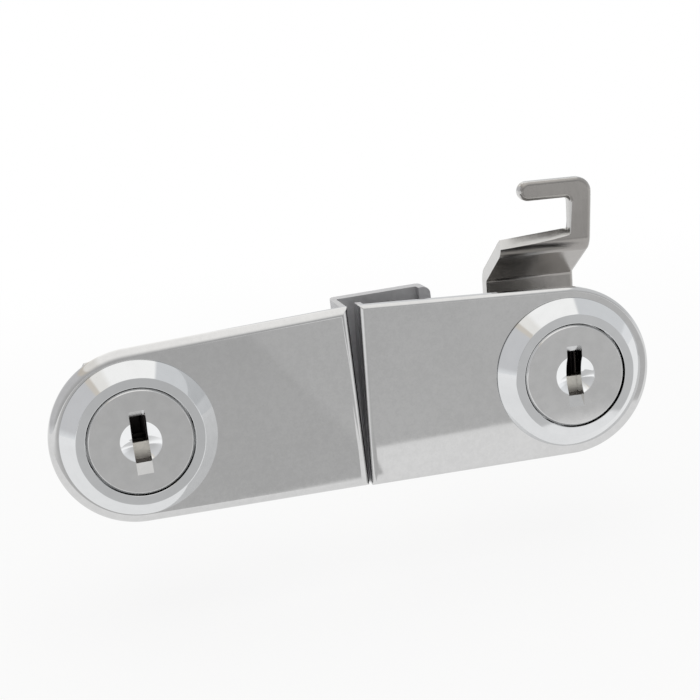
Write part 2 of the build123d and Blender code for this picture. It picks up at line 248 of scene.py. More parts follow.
class StageSettings(bpy.types.PropertyGroup):
    ground: length("Ground", "Level of the floor", cad_low.z - 20 * MM)
    seam: length("Seam", "Where the floor's dull part steps back along X", 66 * MM)
    front_left: length("Left front", "Where the floor turns dull along Y, on the left", -81 * MM)
    front_right: length("Right front", "Where the floor turns dull along Y, on the right", -106.5 * MM)
    dull_left: length("Dull left", "Left side of the floor's dull part", 40 * MM)
    dull_right: length("Dull right", "Right side of the floor's dull part", 120 * MM)
    dull: number("Dull", "Level of the dull part", 0.51)
    dull_step: number("Dull step", "How much lighter it is on the right", 0.06)
    soft_box: tint("Soft box", "Colour of the soft box overhead", (1.15, 1.14, 1.12))
    warm: tint("Warm", "Colour of the soft box's warmer side", (1.0, 0.98, 0.94))
    beam: tint("Beam", "Colour of the thin beam beside it", (0.74, 0.69, 0.62))
    left_wall: tint("Left wall", "Colour of the room on the left", (0.69, 0.69, 0.70))
    right_wall: tint("Right wall", "Colour of the room on the right", (0.76, 0.77, 0.78))
    wall: tint("Wall", "Colour of the room near the floor", (0.9, 0.91, 0.92))
    lens: number("Lens", "Focal length of the camera", 86.535)
    eye: vector("Eye", "Place of the camera", (-0.020945, -0.326517, 0.080191))
    look: vector("Look", "Way the camera looks", (0.19316, 0.95895, -0.2076))
    up: vector("Up", "Way the camera's top points", (0.1661, 0.17657, 0.97017))


class Nodes:
    """A node tree, filled in with plain expressions."""

    def __init__(self, tree, place="Object"):
        self.tree = tree
        self.tree.nodes.clear()
        self.place = self.add("TexCoord", out=place)

    def add(self, kind, settings=None, out=0, **inputs):
        """Adds a node, sets it, fills its sockets and gives one of its outputs."""
        node = self.tree.nodes.new("ShaderNode" + kind)
        for key, value in (settings or {}).items():
            setattr(node, key, value)
        for key, value in inputs.items():
            name = key.replace("_", " ")
            spot = node.inputs[int(name[1:])] if name[1:].isdigit() else node.inputs[name]
            self.fill(spot, value)
        return Level(self, node.outputs[out])

    def fill(self, spot, value):
        if isinstance(value, Level):
            self.tree.links.new(value.socket, spot)
        elif spot.type == "RGBA":
            spot.default_value = (*value, 1)
        else:
            spot.default_value = value

    def sum(self, operation, *values):
        return self.add("Math", {"operation": operation}, **{f"i{n}": v for n, v in enumerate(values)})

    def split(self, vector):
        """The three parts of a vector."""
        parts = self.add("SeparateXYZ", i0=vector)
        return [Level(self, socket) for socket in parts.socket.node.outputs]

    def noise(self, size, detail=3.0, rough=0.6, stretch=(1, 1, 1)):
        """Noise whose features are about that many metres across, around 0 to 1."""
        spot = self.add("Mapping", Vector=self.place, Scale=stretch)
        return self.add("TexNoise", Vector=spot, Scale=1 / size, Detail=detail, Roughness=rough)

    def mix(self, share, first, second):
        """A colour between two."""
        return self.add("Mix", {"data_type": "RGBA"}, out=2, i0=share, i6=first, i7=second)

    def shades(self, share, colour, *parts):
        """A colour between two shades of one, each a part of its brightness."""
        first, second = ([min(1, c * part) for c in colour] for part in parts)
        return self.mix(share, first, second)

    def ramp(self, share, stops):
        """A colour that changes along a list of stops."""
        colour = self.add("ValToRGB", Fac=share)
        steps = colour.socket.node.color_ramp.elements
        for step, (at, value) in zip(steps, (stops[0], stops[-1])):
            step.position = at
            step.color = (*value, 1)
        for at, value in stops[1:-1]:
            steps.new(at).color = (*value, 1)
        return colour

    def rays(self):
        """Whether a ray comes straight from the camera or through glass, and whether by a mirror."""
        path = self.add("LightPath", out="Is Camera Ray").socket.node.outputs
        seen = Level(self, path["Is Camera Ray"]) + Level(self, path["Is Transmission Ray"])
        return seen, Level(self, path["Is Glossy Ray"])

    def bump(self, height, depth):
        return self.add("Bump", Height=height, Distance=depth)

    def close(self, shader, kind="Material"):
        output = self.tree.nodes.new("ShaderNodeOutput" + kind)
        self.fill(output.inputs["Surface"], shader)


class Surface(Nodes):
    """One material's node tree."""

    def __init__(self, name):
        self.material = bpy.data.materials.new(name)
        self.material.use_nodes = True
        super().__init__(self.material.node_tree)

    def dressed(self, shade, rough, grain=None, metallic=1.0):
        """The finished material, of that colour and roughness, with or without a grain."""
        relief = {"Normal": grain} if grain else {}
        self.close(self.add(
            "BsdfPrincipled", Base_Color=shade, Metallic=metallic, Roughness=rough, **relief
        ))
        return self.material


def operator(operation, reflected=False):
    """What an operator does on a Level: it adds a Math node."""
    def method(level, other):
        pair = (other, level) if reflected else (level, other)
        return level.nodes.sum(operation, *pair)

    return method


class Level:
    """A value in a node tree that plain arithmetic works on."""

    def __init__(self, nodes, socket):
        self.nodes = nodes
        self.socket = socket

    __add__, __radd__ = operator("ADD"), operator("ADD", True)
    __sub__, __rsub__ = operator("SUBTRACT"), operator("SUBTRACT", True)
    __mul__, __rmul__ = operator("MULTIPLY"), operator("MULTIPLY", True)

    def between(self, low, high):
        """0 at low, 1 at high, smooth in between."""
        return self.nodes.add(
            "MapRange", {"interpolation_type": "SMOOTHSTEP"}, Value=self, From_Min=low, From_Max=high
        )


def object_mode():
    if bpy.context.mode != "OBJECT":
        bpy.ops.object.mode_set(mode="OBJECT")


def clear():
    object_mode()
    bpy.ops.object.select_all(action="DESELECT")


def only(piece):
    clear()
    piece.select_set(True)
    bpy.context.view_layer.objects.active = piece


def named(name):
    """The primitive just added, with its place put into its mesh."""
    piece = bpy.context.active_object
    piece.name = piece.data.name = name
    bpy.ops.object.transform_apply()
    return piece


def edit(piece, kind="FACE"):
    """Opens a piece in edit mode with nothing selected."""
    only(piece)
    bpy.ops.object.mode_set(mode="EDIT")
    bpy.ops.mesh.select_mode(type=kind)
    bpy.ops.mesh.select_all(action="DESELECT")


def take_all():
    bpy.ops.mesh.select_all(action="SELECT")


def choose(piece, kind, test):
    """Selects what passes a test, in edit mode."""
    bpy.ops.mesh.select_mode(type=kind)
    bpy.ops.mesh.select_all(action="DESELECT")
    mesh = bmesh.from_edit_mesh(piece.data)
    mesh.normal_update()
    items = {"VERT": mesh.verts, "EDGE": mesh.edges, "FACE": mesh.faces}[kind]
    found = [item for item in items if test(item)]
    for item in found:
        item.select_set(True)
    bmesh.update_edit_mesh(piece.data)
    if not found:
        raise RuntimeError(f"nothing to select on {piece.name}")


def middle(item):
    """The middle of an edge or a face."""
    if hasattr(item, "calc_center_median"):
        return item.calc_center_median()
    return (item.verts[0].co + item.verts[1].co) / 2


def near(value, level):
    return abs(value - level) < same_edge


def cut(piece, point, normal, drop=False, close=False):
    """Bisects the whole piece; drop takes away the side that the normal points to."""
    take_all()
    bpy.ops.mesh.bisect(plane_co=point, plane_no=normal, clear_outer=drop, use_fill=close)
    bpy.ops.mesh.select_all(action="DESELECT")


def pull(x=0.0, y=0.0):
    bpy.ops.mesh.extrude_region_move(TRANSFORM_OT_translate={"value": (x, y, 0)})


def round_off(piece, test, radius, steps):
    """Rounds the edges that pass a test, in edit mode."""
    choose(piece, "EDGE", test)
    bpy.ops.mesh.bevel(offset=radius, segments=steps)


def fold_round(piece, places, radius, steps):
    """Rounds the edges along Z that stand at the given (x, y) places."""
    def at_place(edge):
        a, b = (v.co for v in edge.verts)
        along = near(a.x, b.x) and near(a.y, b.y)
        return along and any(near(a.x, x) and near(a.y, y) for x, y in places)

    round_off(piece, at_place, radius, steps)


def tidy(piece):
    """Merges doubles, turns the faces outwards and shades by angle."""
    only(piece)
    bpy.ops.object.mode_set(mode="EDIT")
    take_all()
    bpy.ops.mesh.remove_doubles(threshold=0.001 * MM)
    bpy.ops.mesh.normals_make_consistent()
    bpy.ops.object.mode_set(mode="OBJECT")
    bpy.ops.object.shade_smooth_by_angle(angle=math.radians(35))
    return piece


def modify(piece, kind, **settings):
    """Runs one modifier over a piece and applies it."""
    only(piece)
    modifier = piece.modifiers.new(kind, kind)
    for key, value in settings.items():
        setattr(modifier, key, value)
    bpy.ops.object.modifier_apply(modifier=modifier.name)
    return piece


def soften(piece, width, steps=2, angle=35):
    """Takes the sharpness off every edge, as tumbling and plating do."""
    return modify(
        piece, "BEVEL", width=width, segments=steps, limit_method="ANGLE",
        angle_limit=math.radians(angle), miter_outer="MITER_ARC",
    )


def combine(piece, tool, way="DIFFERENCE"):
    """Cuts, joins or keeps the overlap with a tool, which is used up."""
    modify(piece, "BOOLEAN", operation=way, solver="EXACT", object=tool)
    bpy.data.objects.remove(tool)
    return piece


def join(piece, other):
    """Makes two pieces one."""
    only(piece)
    other.select_set(True)
    bpy.ops.object.join()
    return tidy(piece)


def rod(name, radius, start, end, sides=128):
    """A closed cylinder along Y."""
    clear()
    bpy.ops.mesh.primitive_cylinder_add(
        vertices=sides, radius=radius, depth=end - start, location=(0, (start + end) / 2, 0),
        rotation=(math.radians(90), 0, 0),
    )
    return named(name)


def block(name, low, high):
    """A closed box between two corners, for cutting with."""
    clear()
    low, high = Vector(low), Vector(high)
    bpy.ops.mesh.primitive_cube_add(size=1, location=(low + high) / 2, scale=high - low)
    return named(name)


def square(name, half, start, end):
    """A closed square bar along Y, for a tail or the hole that it goes through."""
    return block(name, (-half, start, -half), (half, end, half))


def drawn(name, points):
    """An outline drawn point by point from a single vertex."""
    clear()
    bpy.ops.mesh.primitive_plane_add(size=MM, location=points[0])
    piece = named(name)
    edit(piece, "VERT")
    take_all()
    bpy.ops.mesh.merge(type="CENTER")
    here = Vector(points[0])
    for point in points[1:]:
        step = Vector(point) - here
        bpy.ops.mesh.extrude_vertices_move(TRANSFORM_OT_translate={"value": step})
        here = Vector(point)
    return piece


def filled(piece):
    """Fills the outline that was just drawn."""
    take_all()
    bpy.ops.mesh.edge_face_add()
    return piece


def prism(name, points, **way):
    """An outline filled and pulled straight out to a closed solid."""
    piece = filled(drawn(name, points))
    pull(**way)
    object_mode()
    return tidy(piece)


def turned(name, profile, steps=160):
    """Spins a closed profile of (radius, y) points about the lock's axis."""
    closed = [(r, y, 0) for r, y in profile]
    piece = drawn(name, closed + closed[:1])
    take_all()
    bpy.ops.mesh.spin(steps=steps, angle=math.tau, center=(0, 0, 0), axis=(0, 1, 0))
    object_mode()
    return tidy(piece)


def arc(centre, radius, first, last, steps):
    """Points on an arc between two angles in degrees, both ends included."""
    span = last - first
    angles = [math.radians(first + span * index / steps) for index in range(steps + 1)]
    return [(centre[0] + radius * math.cos(a), centre[1] + radius * math.sin(a)) for a in angles]


def hand_over(piece, node, body, slot, *finishes):
    """Dresses a piece, puts it on its body and lets it stand for its node."""
    modify(piece, "WEIGHTED_NORMAL", weight=100, keep_sharp=True)
    for name in finishes:
        piece.data.materials.append(finish(name))
    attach(piece, body)
    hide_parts(node)


def both_sides(piece, name, moving, slot, *finishes, left=left_place):
    """Sets one model into both halves, each copy with its own mesh."""
    part = "cylinder" if moving else "half"
    for side, place in (("left", left), ("right", right_place)):
        twin = piece.copy()
        twin.data = piece.data.copy()
        twin.name = twin.data.name = f"{side}_{name}_look"
        bpy.context.scene.collection.objects.link(twin)
        twin.data.transform(place)
        hand_over(twin, f"{side}_{name}", f"{side}_{part}", slot, *finishes)
    bpy.data.objects.remove(piece)


def satin_nickel(s, colour):
    """Satin plated sheet: still glossy, with a fine cloudy grain of no direction."""
    cloud = s.noise(1.4 * MM)
    speck = s.noise(0.4 * MM, 2.0)
    wide = s.noise(9 * MM, 2.0, 0.5)
    share = 0.45 * cloud + 0.3 * speck + 0.25 * wide
    shade = s.shades(share.between(0.35, 0.65), colour, 0.965, 1.035)
    rough = 0.03 + 0.015 * cloud.between(0.3, 0.7) + 0.01 * speck
    grain = s.bump(0.5 * speck + 0.5 * cloud, 0.0004 * MM)
    return s.dressed(shade, rough, grain)


def polished_chrome(s, colour):
    """Bright chrome with the faint wave of a polished casting."""
    wave = s.noise(5 * MM, 1.0, 0.4)
    smear = s.noise(2.2 * MM)
    shade = s.shades(smear.between(0.3, 0.75), colour, 1, 0.97)
    rough = 0.04 + 0.04 * smear.between(0.45, 0.8)
    return s.dressed(shade, rough, s.bump(wave, 0.02 * MM))


def unpolished(s, colour):
    """Plated but not polished; in a near-black colour it is also the painted shade deep in the key slots."""
    cloud = s.noise(1.2 * MM)
    shade = s.shades(cloud.between(0.3, 0.7), colour, 0.92, 1)
    return s.dressed(shade, 0.42 + 0.12 * cloud)


def satin_chrome(s, colour):
    """The plug's turned and blasted face."""
    speck = s.noise(0.3 * MM, 2.0)
    cloud = s.noise(2.5 * MM)
    shade = s.shades(cloud.between(0.3, 0.7), colour, 0.97, 1.03)
    rough = 0.07 + 0.04 * cloud + 0.02 * speck
    return s.dressed(shade, rough, s.bump(speck, 0.001 * MM))


def pressed_steel(s, colour):
    """The hook: plated pressed steel with rolling lines and a warm cast; a lighter copy is the painted light on
    faces that look aside or up.
    """
    lines = s.noise(0.9 * MM, stretch=(1, 1, 0.15))
    cloud = s.noise(4 * MM)
    shade = s.shades((0.6 * cloud + 0.4 * lines).between(0.3, 0.7), colour, 0.9, 1)
    rough = 0.13 + 0.08 * cloud + 0.05 * lines
    return s.dressed(shade, rough, s.bump(0.7 * cloud + 0.3 * lines, 0.02 * MM))


def bright_zinc(s, colour):
    """Zinc plated turned parts, slightly blue and uneven."""
    cloud = s.noise(3 * MM)
    speck = s.noise(0.4 * MM, 2.0, 0.5)
    shade = s.shades(cloud.between(0.3, 0.7), colour, 0.9, 1)
    rough = 0.24 + 0.14 * cloud + 0.05 * speck
    return s.dressed(shade, rough, s.bump(speck, 0.003 * MM))


def stamped_brass(s, colour):
    """Bright at the key's entry, darker further in as painted shade of the deep key slot."""
    cloud = s.noise(1.2 * MM)
    shade = s.shades(cloud.between(0.3, 0.7), colour, 0.85, 1)
    _, depth, _ = s.split(s.place)
    # Wafers further in are darkened as painted shade
    shade = s.mix(depth.between(-1.8 * MM, -1 * MM), shade, [c * 0.15 for c in colour])
    return s.dressed(shade, 0.34 + 0.16 * cloud)


def spring_wire(s, colour):
    cloud = s.noise(0.8 * MM, 2.0, 0.5)
    return s.dressed(s.shades(cloud, colour, 0.8, 1), 0.3 + 0.1 * cloud)


def black_rubber(s, colour):
    """Moulded gasket with a dull bloom."""
    bloom = s.noise(2.5 * MM, 4.0, 0.65)
    speck = s.noise(0.3 * MM, 2.0)
    shade = s.mix(bloom.between(0.35, 0.8), colour, [c + 0.02 for c in colour])
    return s.dressed(shade, 0.62 + 0.2 * bloom, s.bump(speck, 0.01 * MM), metallic=0)


# How each finish is made, and what its material is called
FINISHES = {
    "nickel": (satin_nickel, "satin nickel"),
    "chrome": (polished_chrome, "polished chrome"),
    "back": (unpolished, "unpolished back"),
    # The key slot's painted shade
    "keyway": (unpolished, "raw keyway"),
    "dish": (polished_chrome, "polished dish"),
    "plug": (satin_chrome, "satin chrome"),
    "hook": (pressed_steel, "plated pressed steel"),
    # Painted light on the hooks' faces that look aside or up
    "hook_cut": (pressed_steel, "plated cut edge"),
    "zinc": (bright_zinc, "bright zinc"),
    "brass": (stamped_brass, "stamped brass"),
    "wire": (spring_wire, "spring wire"),
    "rubber": (black_rubber, "black rubber"),
}
palette = {}


def finish(name):
    """One material of each kind, made when it is first asked for."""
    if name not in palette:
        make, label = FINISHES[name]
        colour = getattr(bpy.context.scene.lock_finishes, name)
        palette[name] = make(Surface(label), tuple(colour))
    return palette[name]


def blank(name, reach, way, rounding):
    """A plate before it is folded: round about the lock and a little taller at the meeting edge."""
    p = bpy.context.scene.lock_plates
    half = p.height / 2
    touch = math.atan2(half, reach) + math.acos(p.end_radius / math.hypot(reach, half))
    touch = math.degrees(touch)
    outline = arc((0, 0), p.end_radius, touch, 360 - touch, 120) + [(reach, -half), (reach, half)]
    piece = filled(drawn(name, [(way * x, p.front, z) for x, z in outline]))
    pull(y=p.sheet)
    take_all()
    bpy.ops.mesh.normals_make_consistent()
    round_off(piece, lambda edge: all(near(v.co.y, p.front) for v in edge.verts), rounding, 8)
    return piece


def end_plate(piece, side, place, trims=()):
    """Drills and trims a folded plate, leaves its back unpolished and hands it over."""
    p = bpy.context.scene.lock_plates
    object_mode()
    tidy(piece)
    drill_start, drill_end = -8 * MM, 2 * MM
    for tool in (rod("drill", p.hole, drill_start, drill_end), *trims):
        combine(piece, tool)
    tidy(soften(piece, p.burr))
    piece.name = f"{side}_face_plate_look"
    polished = p.front + p.sheet - 0.1 * MM
    for face in piece.data.polygons:
        face.material_index = int(face.center.y > polished)
    piece.data.transform(place)
    hand_over(piece, f"{side}_face_plate", f"{side}_half", "satin_nickel", "nickel", "back")


class LOCK_OT_left_plate(bpy.types.Operator):
    """Folds the left plate with its side wall, channel and lip"""

    bl_idname = "lock.left_plate"
    bl_label = "Left plate"

    def execute(self, context):
        p = context.scene.lock_plates
        piece = blank("left plate", p.left_reach, 1, p.edge_radius)
        rear = p.front + p.sheet
        wall = p.left_reach - p.wall
        inside = p.channel_back - p.channel_sheet
        far = p.channel_far - p.sheet
        cut(piece, (wall, 0, 0), (1, 0, 0))
        choose(piece, "FACE", lambda f: f.normal.y > 0.9 and middle(f).x > wall)
        pull(y=inside - rear)
        pull(y=p.channel_back - inside)
        choose(piece, "FACE", lambda f: f.normal.x > 0.9 and middle(f).y > inside)
        pull(x=far - p.left_reach)
        pull(x=p.channel_far - far)
        choose(piece, "FACE", lambda f: f.normal.y < -0.9 and middle(f).x > far)
        pull(y=p.lip_front - inside)
        fold_round(piece, [(p.left_reach, inside), (far, inside), (wall, rear)], p.inner_bend, 4)
        fold_round(piece, [(p.channel_far, p.channel_back)], p.outer_bend, 8)
        fold_round(piece, [(wall, p.channel_back)], p.wall_bend, 10)
        end_plate(piece, "left", left_place, [self.lip_corner(p, way) for way in (1, -1)])
        return {"FINISHED"}

    def lip_corner(self, p, way):
        """What rounds the channel's outer corner at the top or the bottom."""
        far, half, r = p.channel_far, p.height / 2, p.lip_corner
        outline = [(far + MM, half - r), (far + MM, half + MM), (far - r, half + MM)]
        outline += arc((far - r, half - r), r, 90, 0, 10)
        points = [(x, p.lip_front - MM, way * z) for x, z in outline]
        return prism("lip corner", points, y=p.channel_back - p.lip_front + 2 * MM)


class LOCK_OT_right_plate(bpy.types.Operator):
    """Folds the right plate with its short flange"""

    bl_idname = "lock.right_plate"
    bl_label = "Right plate"

    def execute(self, context):
        p = context.scene.lock_plates
        piece = blank("right plate", p.right_reach, -1, p.right_edge)
        rear = p.front + p.sheet
        wall = p.flange - p.right_reach
        cut(piece, (wall, 0, 0), (1, 0, 0))
        choose(piece, "FACE", lambda f: f.normal.y > 0.9 and middle(f).x < wall)
        pull(y=p.flange_back - rear)

        def flange_corner(edge):
            a, b = (v.co for v in edge.verts)
            rear_end = near(a.y, p.flange_back) and near(b.y, p.flange_back)
            return rear_end and abs(a.x - b.x) > 0.5 * p.flange

        round_off(piece, flange_corner, p.flange_corner, 6)
        end_plate(piece, "right", right_place)
        return {"FINISHED"}


class LOCK_OT_housings(bpy.types.Operator):
    """Turns the bevelled heads and threads their barrels"""

    bl_idname = "lock.housings"
    bl_label = "Cylinder housings"

    def execute(self, context):
        c = context.scene.lock_cylinders
        root = context.scene.lock_plates.front
        under = c.head - c.undercut
        profile = [
            (c.bore, root), (under, root), (under, root - c.gap), (c.head, root - c.gap),
            (c.head, root - c.rim), (c.face, c.front),
            (c.recess, c.front), (c.recess, c.recess_floor), (c.bore, c.recess_floor),
        ]
        piece = turned("housing", profile, 192)
        soften(piece, 0.12 * MM, 3, 30)
        join(piece, self.barrel(c, root))
        both_sides(piece, "housing", False, "polished_chrome", "chrome")
        return {"FINISHED"}

    def barrel(self, c, root):
        """One thread ridge, screwed along the axis and trimmed at both ends."""
        low = c.barrel - c.depth
        start = root - c.pitch
        ridge = [
            (low, start, 0), (low, start + 0.15 * c.pitch, 0), (c.barrel, start + 0.45 * c.pitch, 0),
            (c.barrel, start + 0.7 * c.pitch, 0), (low, start + c.pitch, 0),
        ]
        barrel = drawn("barrel", ridge)
        turns = math.ceil((c.end - root) / c.pitch) + 2
        modify(
            barrel, "SCREW", axis="Y", screw_offset=c.pitch, iterations=turns, steps=96,
            render_steps=96, use_merge_vertices=True,
        )
        bpy.ops.object.mode_set(mode="EDIT")
        take_all()
        bpy.ops.mesh.remove_doubles(threshold=0.001 * MM)
        cut(barrel, (0, c.end, 0), (0, 1, 0), drop=True, close=True)
        cut(barrel, (0, root, 0), (0, -1, 0), drop=True, close=True)
        for way in (1, -1):
            cut(barrel, (way * c.flat, 0, 0), (way, 0, 0), drop=True, close=True)
        object_mode()
        tidy(barrel)
        combine(barrel, rod("bore", c.bore, root - MM, c.end + MM))
        return self.notched(barrel, c)

    def notched(self, barrel, c):
        """Opens the notch that the stop washer's lug runs in."""
        first, last = 165, 285
        outline = [(0, 0)] + arc((0, 0), c.barrel + MM, first, last, 24)
        points = [(x, c.end - c.notch, z) for x, z in outline]
        return combine(barrel, prism("notch", points, y=2 * c.notch))


class LOCK_OT_plugs(bpy.types.Operator):
    """Turns the plugs and cuts their key slots and wafer slots"""

    bl_idname = "lock.plugs"
    bl_label = "Plugs"

    def execute(self, context):
        c = context.scene.lock_cylinders
        bowl = (c.dish ** 2 + c.dish_depth ** 2) / (2 * c.dish_depth)
        half = math.degrees(math.asin(c.dish / bowl))
        deep = c.front + c.dish_depth - bowl
        dish = arc((0, deep), bowl, 90, 90 - half, 16)
        disc_back = c.front + c.disc_depth
        profile = dish + [
            (c.disc - c.disc_edge, c.front), (c.disc, c.front + c.disc_edge), (c.disc, disc_back),
            (c.core, disc_back), (c.core, c.core_end), (0, c.core_end),
        ]
        piece = turned("plug", profile, 192)
        soften(piece, 0.06 * MM, 2, 25)
        half_width = c.slot_width / 2
        slot = block(
            "slot", (-half_width, c.front - MM, c.slot_bottom),
            (half_width, c.front + c.slot_depth, c.slot_top),
        )
        combine(piece, soften(slot, 0.25 * MM, 3))
        deep_end = c.front + c.step_depth
        ramp = [
            (c.front - MM, c.slot_bottom - c.step), (c.front, c.slot_bottom - c.step),
            (deep_end, c.slot_bottom), (deep_end, c.slot_top), (c.front, c.slot_top + c.step / 2),
            (c.front - MM, c.slot_top + c.step / 2),
        ]
        combine(piece, prism("step", [(-half_width, y, z) for y, z in ramp], x=c.slot_width))
        past = c.core + 2 * MM
        for low, high in self.wafers():
            combine(piece, block(
                "wafer slot", (-c.wafer_reach, low - c.wafer_gap, -past),
                (c.wafer_reach, high + c.wafer_gap, past),
            ))
        stub = square("tail", c.tail / 2, c.core_end - same_point, plug_high.y)
        join(piece, soften(stub, 0.6 * MM, 3))
        # Faces deep in the key slot get the painted shade, and faces on the dish get the polished colour
        for face in piece.data.polygons:
            off = (face.center - Vector((0, deep, 0))).length - bowl
            inside = face.center.y > c.front + c.raw and abs(face.center.x) < half_width + 0.1 * MM
            face.material_index = 2 if inside else int(abs(off) < 0.03 * MM)
        both_sides(piece, "plug", True, "satin_chrome", "plug", "dish", "keyway")
        return {"FINISHED"}

    def wafers(self):
        """Levels of the wafers' faces along Y, from their CAD node."""
        levels = sorted({round(v.co.y / MM, 3) for v in frame["nodes"]["left_wafers"].data.vertices})
        return [(low * MM, high * MM) for low, high in zip(levels[::2], levels[1::2])]


class LOCK_OT_wafers(bpy.types.Operator):
    """Gives the wafers and their springs their finish"""

    bl_idname = "lock.wafers"
    bl_label = "Wafers and springs"

    def execute(self, context):
        for side in ("left", "right"):
            for node, name in (("wafers", "brass"), ("wafer_springs", "wire")):
                cad = frame["nodes"][f"{side}_{node}"]
                cad.data.materials.clear()
                cad.data.materials.append(finish(name))
        return {"FINISHED"}


class LOCK_OT_rings(bpy.types.Operator):
    """Turns the gaskets and the clamp washers"""

    bl_idname = "lock.rings"
    bl_label = "Gaskets and washers"

    def execute(self, context):
        hole = context.scene.lock_plates.hole
        rings = (
            ("front_gasket", front_low, front_high, 0.08, "gasket", "rubber"),
            ("rear_gasket", rear_low, rear_high, 0.2, "gasket", "rubber"),
            ("clamp_washer", washer_low, washer_high, 0.15, "plated_steel", "zinc"),
        )
        for name, low, high, edge, slot, stuff in rings:
            profile = [(hole, low.y), (high.x, low.y), (high.x, high.y), (hole, high.y)]
            piece = turned(name, profile)
            tidy(soften(piece, edge * MM, 3))
            both_sides(piece, name, False, slot, stuff)
        return {"FINISHED"}


class LOCK_OT_nuts(bpy.types.Operator):
    """Makes the hexagon nuts"""

    bl_idname = "lock.nuts"
    bl_label = "Mounting nuts"

    def execute(self, context):
        f = context.scene.lock_fasteners
        start, end = nut_low.y, nut_high.y
        corner = f.nut / math.sqrt(3)
        piece = rod("nut", corner, start, end, sides=6)
        piece.data.transform(Matrix.Rotation(math.radians(30), 4, "Y"))
        c = f.nut_chamfer
        cone = turned("cone", [
            (0, start), (corner - c, start), (corner + c, start + c), (corner + c, end - c),
            (corner - c, end), (0, end),
        ])
        combine(piece, cone, "INTERSECT")
        wide = f.nut_bore + f.flare + MM
        combine(piece, turned("bore", [
            (0, start - MM), (wide, start - MM), (f.nut_bore, start + f.flare_depth),
            (f.nut_bore, end - f.flare_depth), (wide, end + MM), (0, end + MM),
        ]))
        tidy(soften(piece, 0.15 * MM, 2, 25))
        both_sides(piece, "mounting_nut", False, "plated_steel", "zinc")
        return {"FINISHED"}


